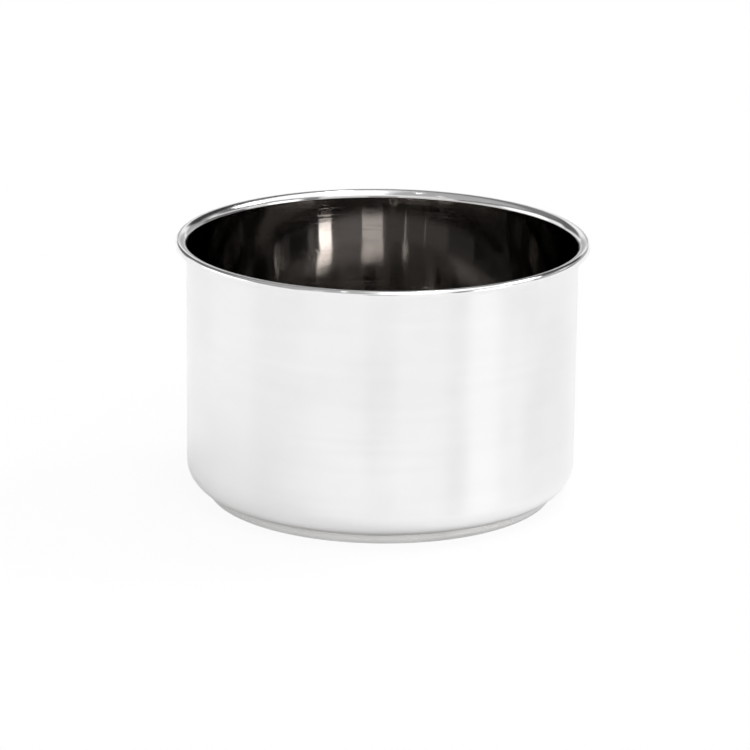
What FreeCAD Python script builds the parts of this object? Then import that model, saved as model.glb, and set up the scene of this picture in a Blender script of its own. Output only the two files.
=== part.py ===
import FreeCAD, Part
import math
import os
import Sketcher

# Inner pot of a soup kettle: a drawn stainless shell on a capsule base, which is an aluminium
# disc held between the shell's floor and a pressed stainless cap. Millimetres, +Z up.
# The origin is the centre of the underside, where the pot stands.

SIZES = {
    "wall_diameter": 284.0,    # outside of the straight wall
    "pot_height": 191.0,       # underside of the base to the top of the rim
    "sheet_gauge": 0.8,        # shell's sheet
    "corner_radius": 18.0,     # outside of the bend between wall and floor
    "throat_radius": 6.0,      # bend from the wall over to the rim, on its upper face
    "roll_radius": 2.8,        # bend from the rim down to the lip, on its upper face
    "lip_drop": 2.0,           # straight edge of the rim below its bend
    "base_overhang": 2.8,      # how far the base reaches past the flat of the shell's floor
    "cap_gauge": 0.6,          # base cap's sheet
    "cap_edge_radius": 3.0,    # outside of the cap's lower edge
    "disc_thickness": 6.4,     # aluminium disc
    "disc_edge_gap": 0.2,      # room between the disc's side and the cap's skirt
}

FLOOR_RADIUS = "(Sizes.wall_diameter / 2 - Sizes.corner_radius)"
BASE_RADIUS = "(" + FLOOR_RADIUS + " + Sizes.base_overhang)"
BASE_HEIGHT = "(Sizes.cap_gauge + Sizes.disc_thickness)"

# How a sketch numbers its own origin and the points of a line or arc.
ORIGIN_POINT = (-1, 1)
START, END, CENTRE = 1, 2, 3


def straight(end):
    return {"end": end}


def bend(centre, end, turns_left):
    return {"end": end, "centre": centre, "turns_left": turns_left}


def angle_from(centre, point):
    return math.atan2(point[1] - centre[1], point[0] - centre[0])


def draw_outline(sketch, start, steps):
    # Draws a closed chain of named lines and arcs from start, and joins each to the next, smoothly
    # where either of them is a bend. Gives the sketch's number for each name.
    numbers = {}
    arrivals = []
    departures = []
    here = start
    for name, step in steps.items():
        end = step["end"]
        if "centre" in step:
            centre, turns_left = step["centre"], step["turns_left"]
            circle = Part.Circle(FreeCAD.Vector(*centre, 0), FreeCAD.Vector(0, 0, 1), math.dist(centre, end))
            first, last = (here, end) if turns_left else (end, here)
            piece = Part.ArcOfCircle(circle, angle_from(centre, first), angle_from(centre, last))
        else:
            turns_left = True
            piece = Part.LineSegment(FreeCAD.Vector(*here, 0), FreeCAD.Vector(*end, 0))
        numbers[name] = sketch.addGeometry(piece, False)
        departures.append(START if turns_left else END)
        arrivals.append(END if turns_left else START)
        here = end
    chain = list(steps.values())
    for index, step in enumerate(chain):
        following = (index + 1) % len(chain)
        kind = "Tangent" if "centre" in step or "centre" in chain[following] else "Coincident"
        sketch.addConstraint(Sketcher.Constraint(
            kind, index, arrivals[index], following, departures[following]))
    return numbers


def new_body(doc, name, height_expression):
    # A body standing at a height of its own, with a sketch on its upright plane.
    body = doc.addObject("PartDesign::Body", name)
    body.setExpression("Placement.Base.z", height_expression)
    upright = next(plane for plane in body.Origin.OriginFeatures if plane.Role == "XZ_Plane")
    sketch = body.newObject("Sketcher::SketchObject", name + "_section")
    sketch.AttachmentSupport = [(upright, "")]
    sketch.MapMode = "FlatFace"
    return body, sketch


def hold(sketch, kind, *where):
    sketch.addConstraint(Sketcher.Constraint(kind, *where))


def bind(sketch, name, expression, kind, *where):
    # Adds a dimension and ties it to the sheet.
    index = sketch.addConstraint(Sketcher.Constraint(kind, *where))
    sketch.renameConstraint(index, name)
    sketch.setExpression("Constraints." + name, expression)


def spin(body, sketch):
    turned = body.newObject("PartDesign::Revolution", body.Name + "_turned")
    turned.Profile = sketch
    turned.ReferenceAxis = (sketch, ["V_Axis"])
    turned.Angle = 360.0
    body.Tip = turned


def make_pot_shell(doc, size):
    # Section of the drawn sheet, from the middle of the floor out, up the wall, over the rim and back.
    body, sketch = new_body(doc, "pot_shell", BASE_HEIGHT)
    gauge, corner = size("sheet_gauge"), size("corner_radius")
    throat, roll, lip = size("throat_radius"), size("roll_radius"), size("lip_drop")
    top = size("pot_height") - size("cap_gauge") - size("disc_thickness")
    wall = size("wall_diameter") / 2
    inside = wall - gauge
    floor = wall - corner
    crest = inside + throat
    rim = crest + roll
    lip_end = top - roll - lip
    corner_centre, throat_centre, roll_centre = (floor, corner), (crest, top - throat), (crest, top - roll)

    line = draw_outline(sketch, (0, 0), {
        "floor_under": straight((floor, 0)),
        "corner_out": bend(corner_centre, (wall, corner), True),
        "wall_out": straight((wall, top - throat)),
        "throat_under": bend(throat_centre, (crest, top - gauge), False),
        "roll_under": bend(roll_centre, (rim - gauge, top - roll), False),
        "lip_in": straight((rim - gauge, lip_end)),
        "lip_edge": straight((rim, lip_end)),
        "lip_out": straight((rim, top - roll)),
        "roll_over": bend(roll_centre, (crest, top), True),
        "throat_over": bend(throat_centre, (inside, top - throat), True),
        "wall_in": straight((inside, corner)),
        "corner_in": bend(corner_centre, (floor, gauge), False),
        "floor_over": straight((0, gauge)),
        "axis_side": straight((0, 0)),
    })
    for level in ("floor_under", "lip_edge", "floor_over"):
        hold(sketch, "Horizontal", line[level])
    for upright in ("wall_out", "lip_in", "lip_out", "wall_in", "axis_side"):
        hold(sketch, "Vertical", line[upright])
    bends = (("corner_out", "corner_in"), ("throat_under", "throat_over"), ("roll_under", "roll_over"))
    for under, over in bends:
        hold(sketch, "Coincident", line[under], CENTRE, line[over], CENTRE)
    hold(sketch, "Vertical", line["throat_over"], CENTRE, line["roll_over"], CENTRE)
    hold(sketch, "Coincident", line["floor_under"], START, *ORIGIN_POINT)
    bind(sketch, "wall_radius", "Sizes.wall_diameter / 2",
         "DistanceX", *ORIGIN_POINT, line["wall_out"], END, wall)
    bind(sketch, "shell_height", "Sizes.pot_height - " + BASE_HEIGHT,
         "DistanceY", *ORIGIN_POINT, line["roll_over"], END, top)
    bind(sketch, "gauge", "Sizes.sheet_gauge",
         "DistanceY", line["axis_side"], END, line["axis_side"], START, gauge)
    bind(sketch, "corner", "Sizes.corner_radius", "Radius", line["corner_out"], corner)
    bind(sketch, "throat", "Sizes.throat_radius", "Radius", line["throat_over"], throat)
    bind(sketch, "roll", "Sizes.roll_radius", "Radius", line["roll_over"], roll)
    bind(sketch, "lip", "Sizes.lip_drop", "DistanceY", line["lip_out"], START, line["lip_out"], END, lip)
    spin(body, sketch)
    return body


def make_heat_spreader_disc(doc, size):
    # A plain disc lying on the cap's floor. Its lower edge is as round as the cap's outside, so it
    # stays clear of the bend inside the cap.
    body, sketch = new_body(doc, "heat_spreader_disc", "Sizes.cap_gauge")
    thickness, edge = size("disc_thickness"), size("cap_edge_radius")
    floor = size("wall_diameter") / 2 - size("corner_radius")
    side = floor + size("base_overhang") - size("cap_gauge") - size("disc_edge_gap")

    line = draw_outline(sketch, (0, 0), {
        "underside": straight((side - edge, 0)),
        "edge": bend((side - edge, edge), (side, edge), True),
        "side": straight((side, thickness)),
        "top": straight((0, thickness)),
        "axis_side": straight((0, 0)),
    })
    for level in ("underside", "top"):
        hold(sketch, "Horizontal", line[level])
    for upright in ("side", "axis_side"):
        hold(sketch, "Vertical", line[upright])
    hold(sketch, "Coincident", line["underside"], START, *ORIGIN_POINT)
    bind(sketch, "disc_radius", BASE_RADIUS + " - Sizes.cap_gauge - Sizes.disc_edge_gap",
         "DistanceX", *ORIGIN_POINT, line["side"], END, side)
    bind(sketch, "thickness", "Sizes.disc_thickness",
         "DistanceY", *ORIGIN_POINT, line["side"], END, thickness)
    bind(sketch, "edge", "Sizes.cap_edge_radius", "Radius", line["edge"], edge)
    spin(body, sketch)
    return body


def make_base_cap(doc, size):
    # A shallow cup whose skirt stands as high as the disc inside it.
    body, sketch = new_body(doc, "base_cap", "0")
    gauge, edge = size("cap_gauge"), size("cap_edge_radius")
    height = gauge + size("disc_thickness")
    skirt = size("wall_diameter") / 2 - size("corner_radius") + size("base_overhang")
    edge_centre = (skirt - edge, edge)

    line = draw_outline(sketch, (0, 0), {
        "underside": straight((skirt - edge, 0)),
        "edge_out": bend(edge_centre, (skirt, edge), True),
        "skirt_out": straight((skirt, height)),
        "skirt_top": straight((skirt - gauge, height)),
        "skirt_in": straight((skirt - gauge, edge)),
        "edge_in": bend(edge_centre, (skirt - edge, gauge), False),
        "floor_over": straight((0, gauge)),
        "axis_side": straight((0, 0)),
    })
    for level in ("underside", "skirt_top", "floor_over"):
        hold(sketch, "Horizontal", line[level])
    for upright in ("skirt_out", "skirt_in", "axis_side"):
        hold(sketch, "Vertical", line[upright])
    hold(sketch, "Coincident", line["edge_out"], CENTRE, line["edge_in"], CENTRE)
    hold(sketch, "Coincident", line["underside"], START, *ORIGIN_POINT)
    bind(sketch, "skirt_radius", BASE_RADIUS, "DistanceX", *ORIGIN_POINT, line["skirt_out"], END, skirt)
    bind(sketch, "skirt_height", BASE_HEIGHT, "DistanceY", *ORIGIN_POINT, line["skirt_out"], END, height)
    bind(sketch, "gauge", "Sizes.cap_gauge",
         "DistanceY", line["axis_side"], END, line["axis_side"], START, gauge)
    bind(sketch, "edge", "Sizes.cap_edge_radius", "Radius", line["edge_out"], edge)
    spin(body, sketch)
    return body


def make_sheet(doc):
    sheet = doc.addObject("Spreadsheet::Sheet", "Sizes")
    for row, (name, value) in enumerate(SIZES.items(), start=1):
        sheet.set("A%d" % row, name)
        sheet.set("B%d" % row, str(value))
        sheet.setAlias("B%d" % row, name)
    doc.recompute()
    return sheet


def check(doc, bodies):
    for item in doc.Objects:
        if "Invalid" in item.State or "Error" in item.State:
            raise RuntimeError("%s did not rebuild: %s" % (item.Label, item.State))
        if item.TypeId == "Sketcher::SketchObject" and not item.FullyConstrained:
            raise RuntimeError("%s is not fully constrained" % item.Label)
    for body in bodies:
        if body.Shape.isNull() or not body.Shape.isValid() or len(body.Shape.Solids) != 1:
            raise RuntimeError("%s is not one valid solid" % body.Label)


def main():
    doc = FreeCAD.newDocument("soup_kettle_insert_pot")
    sheet = make_sheet(doc)
    makers = (make_pot_shell, make_heat_spreader_disc, make_base_cap)
    bodies = [make(doc, sheet.get) for make in makers]
    doc.recompute()
    check(doc, bodies)
    os.makedirs("parts", exist_ok=True)
    for body in bodies:
        body.Shape.exportStep("parts/%s.step" % body.Label)
        box = body.Shape.optimalBoundingBox()
        print("%s: %.0f mm3, z %.2f to %.2f, widest %.2f" % (
            body.Label, body.Shape.Volume, box.ZMin, box.ZMax, box.XLength))


main()
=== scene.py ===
import math

import bmesh
import bpy
from mathutils import Matrix, Vector


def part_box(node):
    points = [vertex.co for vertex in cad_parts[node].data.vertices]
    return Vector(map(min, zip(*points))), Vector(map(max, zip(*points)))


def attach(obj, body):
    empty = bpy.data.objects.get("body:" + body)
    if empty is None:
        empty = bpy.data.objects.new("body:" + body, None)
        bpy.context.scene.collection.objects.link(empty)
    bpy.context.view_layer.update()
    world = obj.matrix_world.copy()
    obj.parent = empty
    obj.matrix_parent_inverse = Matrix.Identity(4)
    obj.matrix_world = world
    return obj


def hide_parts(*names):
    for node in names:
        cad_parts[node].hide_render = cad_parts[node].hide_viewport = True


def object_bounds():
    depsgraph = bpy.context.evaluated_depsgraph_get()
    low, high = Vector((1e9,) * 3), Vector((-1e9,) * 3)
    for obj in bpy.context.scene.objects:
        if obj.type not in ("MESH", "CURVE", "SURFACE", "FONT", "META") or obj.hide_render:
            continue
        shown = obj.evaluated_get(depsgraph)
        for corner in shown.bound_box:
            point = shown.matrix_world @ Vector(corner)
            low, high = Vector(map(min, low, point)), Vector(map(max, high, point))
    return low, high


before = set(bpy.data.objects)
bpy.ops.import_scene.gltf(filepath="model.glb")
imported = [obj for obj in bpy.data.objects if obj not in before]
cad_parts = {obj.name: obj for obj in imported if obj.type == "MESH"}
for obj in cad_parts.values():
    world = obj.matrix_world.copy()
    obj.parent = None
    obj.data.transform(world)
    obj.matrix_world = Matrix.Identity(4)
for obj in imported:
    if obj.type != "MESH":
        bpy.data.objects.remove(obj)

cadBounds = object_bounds()
scene = bpy.context.scene
print("frame loaded:", ", ".join(sorted(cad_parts)))


# Camera: where the photograph was taken from, measured from the middle of the pot.
photoCamera = {
    "distance": 2.770,
    "elevation": 16.47,   # degrees above the pot's middle
    "aimLow": 0.166,      # degrees that it points below the middle
    "aimLeft": 0.097,     # degrees that it points to the left of the axis
    "roll": 0.613,        # degrees, the picture's horizon falls to the right
    "lens": 181.9,        # millimetres on a 36 mm sensor
}


def placeCamera(spec):
    low, high = cadBounds
    middle = Vector((0, 0, (low[2] + high[2]) / 2))
    elevation = math.radians(spec["elevation"])
    pitch = elevation + math.radians(spec["aimLow"])
    yaw = math.radians(spec["aimLeft"])
    data = bpy.data.cameras.new("photoCamera")
    data.lens = spec["lens"]
    camera = bpy.data.objects.new("photoCamera", data)
    scene.collection.objects.link(camera)
    place = middle + spec["distance"] * Vector((0, -math.cos(elevation), math.sin(elevation)))
    upright = Matrix.Rotation(yaw, 4, "Z") @ Matrix.Rotation(math.pi / 2 - pitch, 4, "X")
    roll = Matrix.Rotation(math.radians(spec["roll"]), 4, "Z")
    camera.matrix_world = Matrix.Translation(place) @ upright @ roll
    scene.camera = camera


placeCamera(photoCamera)
scene.view_settings.view_transform = "Standard"
print("camera placed")


# Small helpers for node trees.
def addNode(tree, kind, inputs=None, **settings):
    node = tree.nodes.new(kind)
    for name, value in settings.items():
        setattr(node, name, value)
    for name, value in (inputs or {}).items():
        if isinstance(value, bpy.types.NodeSocket):
            tree.links.new(value, node.inputs[name])
        else:
            node.inputs[name].default_value = value
    return node


def calc(tree, operation, *values):
    return addNode(tree, "ShaderNodeMath", dict(enumerate(values)), operation=operation).outputs[0]


def vectorCalc(tree, operation, *values, out="Vector"):
    node = addNode(tree, "ShaderNodeVectorMath", dict(enumerate(values)), operation=operation)
    return node.outputs[out]


def scaleVector(tree, vector, amount):
    node = addNode(tree, "ShaderNodeVectorMath", {0: vector, "Scale": amount}, operation="SCALE")
    return node.outputs["Vector"]


def ramp(tree, value, fromLow, fromHigh, toLow=0.0, toHigh=1.0, smooth=True):
    node = addNode(tree, "ShaderNodeMapRange", {
        "Value": value, "From Min": fromLow, "From Max": fromHigh, "To Min": toLow, "To Max": toHigh})
    if smooth:
        node.interpolation_type = "SMOOTHSTEP"
    return node.outputs["Result"]


def mixValue(tree, factor, first, second):
    return addNode(tree, "ShaderNodeMix", {0: factor, 2: first, 3: second}).outputs[0]


def mixVector(tree, factor, first, second):
    return addNode(tree, "ShaderNodeMix", {0: factor, 4: first, 5: second}, data_type="VECTOR").outputs[1]


def mixColour(tree, factor, first, second, blend="MIX"):
    node = addNode(tree, "ShaderNodeMix", {0: factor, 6: first, 7: second},
                   data_type="RGBA", blend_type=blend)
    return node.outputs[2]


def newGroup(name, inputs, outputs):
    group = bpy.data.node_groups.new(name, "ShaderNodeTree")
    for socketName, kind, value in inputs:
        socket = group.interface.new_socket(socketName, in_out="INPUT", socket_type=kind)
        if value is not None:
            socket.default_value = value
    for socketName, kind in outputs:
        group.interface.new_socket(socketName, in_out="OUTPUT", socket_type=kind)
    return group, group.nodes.new("NodeGroupInput").outputs, group.nodes.new("NodeGroupOutput").inputs


def useGroup(tree, group, inputs=None):
    return addNode(tree, "ShaderNodeGroup", inputs, node_tree=group).outputs


# Marks of making: fine lines and bands round the axis from the polishing wheel, lines up the wall from
# the drawing die, and a slow drift.
marksOfMaking = {
    "lines": (2.5, 3.0, 0.6),   # change on the way round the axis, then the noise's detail and roughness
    "bands": (1.3, 1.0, 0.6),
    "drift": (3.0, 0.5),        # detail and roughness
    "draw": (5.0, 2.0, 0.5),    # change in a metre of height, then detail and roughness
}


def makeRingMarks(spec):
    group, given, out = newGroup("ringMarks", [
        ("Line Density", "NodeSocketFloat", 700.0),
        ("Band Density", "NodeSocketFloat", 180.0),
        ("Drift Density", "NodeSocketFloat", 14.0),
        ("Draw Density", "NodeSocketFloat", 55.0),
    ], [("Lines", "NodeSocketFloat"), ("Bands", "NodeSocketFloat"), ("Drift", "NodeSocketFloat"),
        ("Draw", "NodeSocketFloat")])
    place = addNode(group, "ShaderNodeTexCoord").outputs["Object"]
    level = vectorCalc(group, "MULTIPLY", place, (1, 1, 0))
    radius = vectorCalc(group, "LENGTH", level, out="Value")
    height = addNode(group, "ShaderNodeSeparateXYZ", {"Vector": place}).outputs["Z"]
    along = calc(group, "ADD", radius, height)
    around = vectorCalc(group, "NORMALIZE", level)

    def noise(spot, density, detail, roughness):
        return addNode(group, "ShaderNodeTexNoise", {
            "Vector": spot, "Scale": density, "Detail": detail, "Roughness": roughness}).outputs[0]

    def rise(amount):
        return addNode(group, "ShaderNodeCombineXYZ", {"Z": amount}).outputs[0]

    def ringNoise(density, turn, detail, roughness):
        step = rise(calc(group, "MULTIPLY", along, density))
        spot = vectorCalc(group, "ADD", scaleVector(group, around, turn), step)
        return noise(spot, 1.0, detail, roughness)

    group.links.new(ringNoise(given["Line Density"], *spec["lines"]), out["Lines"])
    group.links.new(ringNoise(given["Band Density"], *spec["bands"]), out["Bands"])
    group.links.new(noise(place, given["Drift Density"], *spec["drift"]), out["Drift"])
    climb, detail, roughness = spec["draw"]
    fan = scaleVector(group, around, given["Draw Density"])
    drawn = vectorCalc(group, "ADD", fan, rise(calc(group, "MULTIPLY", height, climb)))
    group.links.new(noise(drawn, 1.0, detail, roughness), out["Draw"])
    return group


ringMarks = makeRingMarks(marksOfMaking)


# The drawn shell: one sheet from the floor up the wall and over the rolled rim.
shell = {
    "sheet": 0.0008,
    "cornerRadius": 0.018,        # outside of the bend between wall and floor
    "cornerSegments": 20,
    "throatRadius": 0.006,        # upper face of the bend over to the rim
    "throatSegments": (10, 30),   # on its lower and its upper face
    "rollRadius": 0.0028,         # upper face of the bend down to the lip
    "rollSegments": (8, 36),
    "lipDrop": 0.002,
    "lipEdge": 0.00025,           # rounding of the sheared edge
    "lipSegments": 3,
    "steps": 432,                 # round the axis
    "stretch": 0.008,             # longest run between loops on a straight stretch
}


def roundWire(points):
    # A wire in the XZ plane, from the axis out and back to it.
    # Each point is (radius, height, bend radius, bend segments, inside).
    wire = bmesh.new()
    inside = wire.verts.layers.float.new("inside")
    corners = [wire.verts.new((r, 0, z)) for r, z, bend, segments, inner in points]
    for first, second in zip(corners, corners[1:]):
        wire.edges.new((first, second))
    for corner, (r, z, bend, segments, inner) in zip(corners, points):
        corner[inside] = inner
        if bend:
            bmesh.ops.bevel(wire, geom=[corner], offset=bend, affect="VERTICES", segments=segments,
                            profile=0.5, material=-1, clamp_overlap=False)
    bmesh.ops.remove_doubles(wire, verts=wire.verts[:], dist=1e-7)
    return wire


def spinWire(wire, steps, stretch):
    for edge in list(wire.edges):
        cuts = int(edge.calc_length() / stretch)
        if cuts:
            bmesh.ops.subdivide_edges(wire, edges=[edge], cuts=cuts)
    bmesh.ops.spin(wire, geom=wire.verts[:] + wire.edges[:], cent=(0, 0, 0), axis=(0, 0, 1),
                   dvec=(0, 0, 0), angle=2 * math.pi, steps=steps, use_merge=True, use_duplicate=False)
    bmesh.ops.remove_doubles(wire, verts=wire.verts[:], dist=1e-6)
    bmesh.ops.recalc_face_normals(wire, faces=wire.faces[:])
    return wire


def finishPiece(solid, name, node, material):
    mesh = bpy.data.meshes.new(name)
    solid.to_mesh(mesh)
    solid.free()
    mesh.shade_smooth()
    mesh.materials.append(material)
    piece = bpy.data.objects.new(name, mesh)
    scene.collection.objects.link(piece)
    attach(piece, "root")
    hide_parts(node)
    return piece


def makeShell(spec, material):
    low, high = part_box("pot_shell")
    rim, top, under = high.x, high.z, low.z
    sheet = spec["sheet"]
    inside = rim - spec["rollRadius"] - spec["throatRadius"]
    wall = inside + sheet
    lip = top - spec["rollRadius"] - spec["lipDrop"]
    corner = spec["cornerSegments"]
    underThroat, overThroat = spec["throatSegments"]
    underRoll, overRoll = spec["rollSegments"]
    edge = spec["lipSegments"]
    solid = roundWire([
        (0, under, 0, 0, 0),
        (wall, under, spec["cornerRadius"], corner, 0),
        (wall, top - sheet, spec["throatRadius"] - sheet, underThroat, 0),
        (rim - sheet, top - sheet, spec["rollRadius"] - sheet, underRoll, 0),
        (rim - sheet, lip, spec["lipEdge"], edge, 0),
        (rim, lip, spec["lipEdge"], edge, 0),
        (rim, top, spec["rollRadius"], overRoll, 0),
        (inside, top, spec["throatRadius"], overThroat, 1),
        (inside, under + sheet, spec["cornerRadius"] - sheet, corner, 1),
        (0, under + sheet, 0, 0, 1),
    ])
    spinWire(solid, spec["steps"], spec["stretch"])
    return finishPiece(solid, "potShell", "pot_shell", material)


# The base cap: a shallow cup pressed over the heat spreader.
cap = {
    "sheet": 0.0006,
    "edgeRadius": 0.003,
    "edgeSegments": (12, 8),   # outside and inside
    "skirtEdge": 0.0002,
    "skirtSegments": 3,
    "steps": 288,
    "stretch": 0.006,
}


def makeCap(spec, material):
    low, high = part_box("base_cap")
    skirt, top, ground = high.x, high.z, low.z
    sheet = spec["sheet"]
    outer, inner = spec["edgeSegments"]
    solid = roundWire([
        (0, ground, 0, 0, 0),
        (skirt, ground, spec["edgeRadius"], outer, 0),
        (skirt, top, spec["skirtEdge"], spec["skirtSegments"], 0),
        (skirt - sheet, top, spec["skirtEdge"], spec["skirtSegments"], 1),
        (skirt - sheet, ground + sheet, spec["edgeRadius"] - sheet, inner, 1),
        (0, ground + sheet, 0, 0, 1),
    ])
    spinWire(solid, spec["steps"], spec["stretch"])
    return finishPiece(solid, "baseCap", "base_cap", material)


# Finishes.
dullTones = (0.35, 0.70)   # range of the drift over which polish turns dull
midTones = (0.30, 0.70)    # range of a mark over which shade and roughness change


def newMaterial(name):
    material = bpy.data.materials.new(name)
    material.use_nodes = True
    tree = material.node_tree
    return material, tree, tree.nodes["Principled BSDF"]


def smearAcross(tree, surface, amount):
    # highlights stretch a quarter turn from the lines that run round the axis
    surface.inputs["Anisotropic"].default_value = amount
    surface.inputs["Anisotropic Rotation"].default_value = 0.25
    around = addNode(tree, "ShaderNodeTangent", direction_type="RADIAL", axis="Z")
    tree.links.new(around.outputs[0], surface.inputs["Tangent"])


polish = {
    "outside": (0.884, 0.880, 0.882, 1),
    "outsideDull": (0.866, 0.861, 0.862, 1),   # where the polishing wheel pressed less
    # painted shade: the same steel is given a much darker colour inside the pot, so that the hollow looks
    # dark
    "inside": (0.455, 0.440, 0.427, 1),
    "insideDull": (0.432, 0.417, 0.404, 1),
    "bands": (0.985, 1.0),                     # shades of the polishing bands
    "paintedSeamShade": (0.44, 0.43, 0.42, 1),             # painted shade in the groove above the base
    "paintedSeamShadeFrom": (0.0138, 0.0080),              # heights between which it sets in
    "outsideRoughness": (0.18, 0.22),
    "wallRoughness": 0.030,                    # mirror wall inside
    "cornerRoughness": 0.07,                   # ground bend between wall and floor
    "floorRoughness": 0.08,
    "rimRoughness": (0.12, 0.16),
    "smear": 1.0,                              # how far highlights stretch across the polishing lines
    "outsideLines": 0.000002,                  # depth of the polishing lines
    "wallLines": 0.0000003,
    "cornerLines": 0.000001,
    "drawLines": 0.000001,
    "ridges": 0.000003,                        # height of the sparse polishing ridges round the wall
    "ridgeFrom": (0.58, 0.68),                 # range of the lines over which a ridge rises
    "bendSlope": (31.0, 33.0),                 # degrees that the bend leans, at its top and at its foot
    "cornerTop": 0.0300,                       # height where the bend inside begins
    "cornerBlend": 0.0012,                     # half the height over which the wall eases into the bend
    "floorTop": 0.0078,                        # height of the floor inside
    "floorBlend": (0.0004, 0.0001),            # heights above the floor where the bend eases into it
    "mouth": (0.1855, 0.1880),                 # heights where the mirror inside gives way to the rim
}


def makePolishedSteel(spec):
    material, tree, surface = newMaterial("polishedStainless")
    marks = useGroup(tree, ringMarks)
    place = addNode(tree, "ShaderNodeTexCoord").outputs["Object"]
    height = addNode(tree, "ShaderNodeSeparateXYZ", {"Vector": place}).outputs["Z"]
    inside = addNode(tree, "ShaderNodeAttribute", attribute_name="inside").outputs["Fac"]
    outside = calc(tree, "SUBTRACT", 1.0, inside)
    upRim = ramp(tree, height, *spec["mouth"])
    inner = calc(tree, "MULTIPLY", inside, calc(tree, "SUBTRACT", 1.0, upRim))
    cornerTop, cornerBlend, floorTop = spec["cornerTop"], spec["cornerBlend"], spec["floorTop"]
    corner = ramp(tree, height, cornerTop + cornerBlend, cornerTop - cornerBlend)
    floor = ramp(tree, height, *(floorTop + blend for blend in spec["floorBlend"]))

    dull = ramp(tree, marks["Drift"], *dullTones)
    bands = ramp(tree, marks["Bands"], *midTones, *spec["bands"])
    # painted shade: below the mouth the inside takes the darker inside colour
    colour = mixColour(tree, inner, mixColour(tree, dull, spec["outside"], spec["outsideDull"]),
                       mixColour(tree, dull, spec["inside"], spec["insideDull"]))
    colour = mixColour(tree, 1.0, colour, bands, "MULTIPLY")
    # painted shade: the outside of the bend darkens down towards the groove above the base cap
    paintedSeamShade = calc(tree, "MULTIPLY", outside, ramp(tree, height, *spec["paintedSeamShadeFrom"]))
    tree.links.new(mixColour(tree, paintedSeamShade, colour, spec["paintedSeamShade"]), surface.inputs["Base Color"])

    satin = ramp(tree, marks["Drift"], *midTones, *spec["outsideRoughness"])
    bright = ramp(tree, marks["Bands"], *midTones, *spec["rimRoughness"])
    rough = spec["wallRoughness"]
    for mask, value in ((corner, spec["cornerRoughness"]), (floor, spec["floorRoughness"]),
                        (outside, satin), (upRim, bright)):
        rough = mixValue(tree, mask, rough, value)
    tree.links.new(rough, surface.inputs["Roughness"])

    # the bend inside is pressed to a steady slope, so that it mirrors like a cone
    inward = vectorCalc(tree, "NORMALIZE", vectorCalc(tree, "MULTIPLY", place, (-1, -1, 0)))
    lean = ramp(tree, height, cornerTop, floorTop,
                *(math.radians(angle) for angle in spec["bendSlope"]), smooth=False)
    level = scaleVector(tree, inward, calc(tree, "COSINE", lean))
    rise = addNode(tree, "ShaderNodeCombineXYZ", {"Z": calc(tree, "SINE", lean)}).outputs[0]
    bend = calc(tree, "MULTIPLY", inside, calc(tree, "SUBTRACT", corner, floor))
    facing = mixVector(tree, bend, addNode(tree, "ShaderNodeNewGeometry").outputs["Normal"],
                       vectorCalc(tree, "ADD", level, rise))

    depth = spec["wallLines"]
    for mask, value in ((corner, spec["cornerLines"]), (floor, spec["wallLines"]),
                        (outside, spec["outsideLines"])):
        depth = mixValue(tree, mask, depth, value)
    grooves = calc(tree, "MULTIPLY", calc(tree, "MULTIPLY", marks["Draw"], spec["drawLines"]), inner)
    ridges = calc(tree, "MULTIPLY", ramp(tree, marks["Lines"], *spec["ridgeFrom"]), spec["ridges"])
    ridges = calc(tree, "MULTIPLY", ridges, calc(tree, "SUBTRACT", inner, corner))
    relief = calc(tree, "MULTIPLY", marks["Lines"], depth)
    relief = calc(tree, "ADD", relief, calc(tree, "MAXIMUM", ridges, 0.0))
    relief = calc(tree, "ADD", relief, grooves)
    bump = addNode(tree, "ShaderNodeBump", {
        "Height": relief, "Normal": facing, "Distance": 1.0, "Strength": 1.0})
    tree.links.new(bump.outputs[0], surface.inputs["Normal"])
    surface.inputs["Metallic"].default_value = 1.0
    smearAcross(tree, surface, spec["smear"])
    return material


turned = {
    "bandDensity": 260.0,
    "driftDensity": 22.0,
    "steel": (0.86, 0.857, 0.852, 1),
    "dull": (0.80, 0.794, 0.786, 1),
    "bands": (0.95, 1.0),
    # painted shade at the top of the skirt, in the groove under the shell
    "paintedSeamShade": (0.58, 0.57, 0.56, 1),
    "paintedSeamShadeFrom": (0.0028, 0.0066),
    "roughness": (0.22, 0.32),
    "scuffed": 0.42,              # roughness where the base slides on a table
    "scuffFrom": (0.0014, 0.0),
    "scuffLines": (0.45, 0.60),   # range of the lines over which a scuff shows
    "smear": 0.6,
    "lines": 0.000010,
}


def makeBaseSteel(spec):
    material, tree, surface = newMaterial("baseStainless")
    marks = useGroup(tree, ringMarks, {
        "Band Density": spec["bandDensity"], "Drift Density": spec["driftDensity"]})
    place = addNode(tree, "ShaderNodeTexCoord").outputs["Object"]
    height = addNode(tree, "ShaderNodeSeparateXYZ", {"Vector": place}).outputs["Z"]
    colour = mixColour(tree, ramp(tree, marks["Drift"], *dullTones), spec["steel"], spec["dull"])
    bands = ramp(tree, marks["Bands"], *midTones, *spec["bands"])
    colour = mixColour(tree, 1.0, colour, bands, "MULTIPLY")
    # painted shade: the skirt darkens up towards the groove under the shell
    paintedSeamShade = ramp(tree, height, *spec["paintedSeamShadeFrom"])
    tree.links.new(mixColour(tree, paintedSeamShade, colour, spec["paintedSeamShade"]), surface.inputs["Base Color"])
    rough = ramp(tree, marks["Drift"], *midTones, *spec["roughness"])
    scuff = ramp(tree, marks["Lines"], *spec["scuffLines"])
    scuff = calc(tree, "MULTIPLY", scuff, ramp(tree, height, *spec["scuffFrom"]))
    tree.links.new(mixValue(tree, scuff, rough, spec["scuffed"]), surface.inputs["Roughness"])
    bump = addNode(tree, "ShaderNodeBump", {"Height": marks["Lines"], "Distance": spec["lines"]})
    tree.links.new(bump.outputs[0], surface.inputs["Normal"])
    surface.inputs["Metallic"].default_value = 1.0
    smearAcross(tree, surface, spec["smear"])
    return material


rolled = {
    "dark": (0.76, 0.77, 0.78, 1),
    "bright": (0.84, 0.85, 0.86, 1),
    "roughness": (0.38, 0.50),
}


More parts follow.
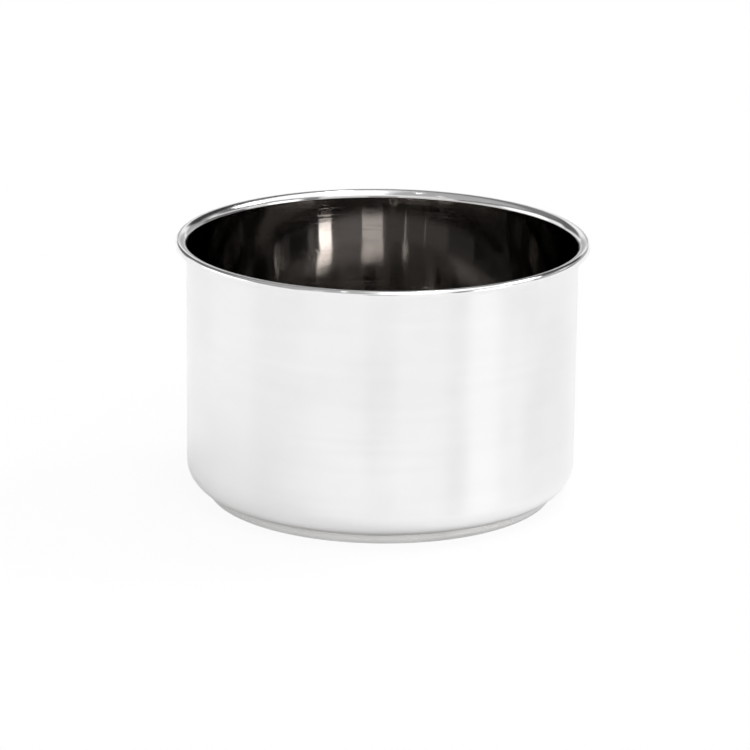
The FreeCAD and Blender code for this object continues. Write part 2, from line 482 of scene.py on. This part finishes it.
def makeAluminium(spec):
    material, tree, surface = newMaterial("coreAluminium")
    marks = useGroup(tree, ringMarks)
    colour = mixColour(tree, marks["Drift"], spec["dark"], spec["bright"])
    tree.links.new(colour, surface.inputs["Base Color"])
    surface.inputs["Metallic"].default_value = 1.0
    tree.links.new(ramp(tree, marks["Drift"], *midTones, *spec["roughness"]), surface.inputs["Roughness"])
    return material


makeShell(shell, makePolishedSteel(polish))
makeCap(cap, makeBaseSteel(turned))
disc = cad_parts["heat_spreader_disc"]
disc.data.materials.clear()
disc.data.materials.append(makeAluminium(rolled))
print("pot modelled")


# The studio: a white floor and white surroundings.
studio = {
    "floorRadius": 25.0,
    "floorSides": 96,
    "floorColour": (0.95, 0.95, 0.95, 1),
    "floorRoughness": 0.9,
    "floorSeen": 0.92,       # share of plain white in the floor that the camera sees
    "floorMirrored": 0.28,   # the same for the floor mirrored in the metal
    "surroundings": 1.0,
    "mirrorBounces": 8,
}

# Panels of light and dark round the pot, each on a plane at a distance of 1: the plane's azimuth from the
# camera's side, its elevation, turn in the plane, centre across and up, width and height, softness, level.
panels = {
    "leftCeiling": (0, 90, 0, (-0.62, 0.0), (1.10, 2.60), 0.15, 0.44),
    "rightCeiling": (0, 90, 0, (1.00, -0.20), (1.90, 1.60), 0.20, 1.38),
    "backCeiling": (0, 90, 0, (0.0, 1.30), (2.80, 1.40), 0.20, 0.20),
    "leftHigh": (-95, 33, 0, (0, 0), (1.90, 0.26), 0.06, 0.12),
    "rightHigh": (70, 33, 0, (0, 0), (1.00, 0.26), 0.06, 0.12),
    "rightFlag": (109, 31, 0, (0, 0), (0.50, 0.28), 0.12, 0.15),
    "frontRing": (60, 0, 0, (-0.10, 1.18), (1.80, 0.30), 0.06, 0.90),
    "rightLow": (112, 9, 0, (0, 0), (0.80, 0.20), 0.06, 0.05),
    "backWall": (180, 9, 0, (0, 0), (0.50, 0.20), 0.06, 0.45),
    "rightBack": (146, 15, 0, (0, 0), (0.56, 0.40), 0.12, 0.40),
    "backLeftFlag": (-150, 20, 0, (0, 0), (0.50, 0.40), 0.06, 0.12),
    "backRightFlag": (160, 32, 0, (0, 0), (0.60, 0.42), 0.06, 0.04),
    "rightGap": (46, 13, 0, (0, 0), (0.24, 0.26), 0.05, 0.15),
    "cameraStand": (0, 11, 0, (0, 0), (0.30, 0.30), 0.05, 0.45),
    "leftSoftbox": (-98, 16, 0, (0, 0), (0.64, 0.44), 0.15, 1.60),
    "rightSoftbox": (62, 14, 0, (0, 0), (0.36, 0.36), 0.16, 2.50),
    "sideStrip": (93.5, -3.7, 14.9, (0.03, 1.35), (0.46, 0.52), 0.04, 15.0),
    "sideGlow": (0, 90, 39.8, (0.03, 1.035), (0.22, 0.14), 0.15, 0.90),
    "sideStripTop": (0, 90, -32.8, (0.306, 0.158), (0.052, 0.18), 0.02, 30.0),
    "sideTail": (0, 90, -32.8, (0.354, 0.158), (0.045, 0.18), 0.02, 6.0),
    "frontBoard": (18, 0, 0, (0.04, 1.22), (0.72, 0.38), 0.04, 3.9),
    "frontBoardTop": (0, 90, 0, (0.10, -0.165), (0.22, 0.11), 0.02, 9.3),
    "leftRod": (-44, 0, 0, (0, 1.20), (0.05, 0.40), 0.02, 2.0),
    "leftRodTop": (0, 90, 0, (-0.20, -0.09), (0.03, 0.09), 0.02, 9.0),
    "sideRod": (-82, 0, 0, (0, 1.08), (0.04, 0.16), 0.02, 1.2),
}


def makePanelMask():
    group, given, out = newGroup("panelMask", [
        ("Direction", "NodeSocketVector", None),
        ("Facing", "NodeSocketVector", None),
        ("Across", "NodeSocketVector", None),
        ("Up", "NodeSocketVector", None),
        ("Middle Across", "NodeSocketFloat", 0.0),
        ("Middle Up", "NodeSocketFloat", 0.0),
        ("Half Width", "NodeSocketFloat", 0.1),
        ("Half Height", "NodeSocketFloat", 0.1),
        ("Softness", "NodeSocketFloat", 0.02),
    ], [("Mask", "NodeSocketFloat")])
    ahead = vectorCalc(group, "DOT_PRODUCT", given["Direction"], given["Facing"], out="Value")
    mask = ramp(group, ahead, 0.0, 0.01)
    sides = (("Across", "Middle Across", "Half Width"), ("Up", "Middle Up", "Half Height"))
    for axis, middle, half in sides:
        along = vectorCalc(group, "DOT_PRODUCT", given["Direction"], given[axis], out="Value")
        offset = calc(group, "SUBTRACT", calc(group, "DIVIDE", along, ahead), given[middle])
        reach = calc(group, "SUBTRACT", given[half], calc(group, "ABSOLUTE", offset))
        edge = ramp(group, calc(group, "DIVIDE", reach, given["Softness"]), -0.5, 0.5)
        mask = calc(group, "MULTIPLY", mask, edge)
    group.links.new(mask, out["Mask"])
    return group


def makeWorld(spec, panels):
    world = bpy.data.worlds.new("studio")
    scene.world = world
    world.use_nodes = True
    tree = world.node_tree
    background = tree.nodes["Background"]
    direction = addNode(tree, "ShaderNodeTexCoord").outputs["Generated"]
    level = spec["surroundings"]
    panelMask = makePanelMask()
    for azimuth, elevation, roll, middle, size, softness, strength in panels.values():
        turn, lift, roll = math.radians(azimuth), math.radians(elevation), math.radians(roll)
        flat = math.cos(lift)
        facing = Vector((math.sin(turn) * flat, -math.cos(turn) * flat, math.sin(lift)))
        aside = Vector((math.cos(turn), math.sin(turn), 0))
        upright = facing.cross(aside)
        across = math.cos(roll) * aside - math.sin(roll) * upright
        up = math.cos(roll) * upright + math.sin(roll) * aside
        mask = useGroup(tree, panelMask, {
            "Direction": direction, "Facing": facing, "Across": across, "Up": up,
            "Middle Across": middle[0], "Middle Up": middle[1],
            "Half Width": size[0] / 2, "Half Height": size[1] / 2, "Softness": softness})
        level = mixValue(tree, mask["Mask"], level, strength)
    tree.links.new(level, background.inputs["Color"])


def makeFloor(spec):
    sheet = bmesh.new()
    bmesh.ops.create_circle(sheet, cap_ends=True, segments=spec["floorSides"], radius=spec["floorRadius"])
    mesh = bpy.data.meshes.new("floor")
    sheet.to_mesh(mesh)
    sheet.free()
    material, tree, surface = newMaterial("whiteFloor")
    surface.inputs["Base Color"].default_value = spec["floorColour"]
    surface.inputs["Roughness"].default_value = spec["floorRoughness"]
    surface.inputs["Specular IOR Level"].default_value = 0.0
    rays = addNode(tree, "ShaderNodeLightPath").outputs
    mirrored = calc(tree, "MAXIMUM", rays["Is Glossy Ray"], rays["Is Transmission Ray"])
    share = calc(tree, "MAXIMUM", calc(tree, "MULTIPLY", rays["Is Camera Ray"], spec["floorSeen"]),
                 calc(tree, "MULTIPLY", mirrored, spec["floorMirrored"]))
    white = addNode(tree, "ShaderNodeEmission", {"Color": (1, 1, 1, 1), "Strength": 1.0})
    lift = addNode(tree, "ShaderNodeMixShader", {0: share})
    tree.links.new(surface.outputs[0], lift.inputs[1])
    tree.links.new(white.outputs[0], lift.inputs[2])
    tree.links.new(lift.outputs[0], tree.nodes["Material Output"].inputs["Surface"])
    mesh.materials.append(material)
    floor = bpy.data.objects.new("floor", mesh)
    scene.collection.objects.link(floor)


makeWorld(studio, panels)
makeFloor(studio)
scene.cycles.glossy_bounces = studio["mirrorBounces"]
print("studio lit")
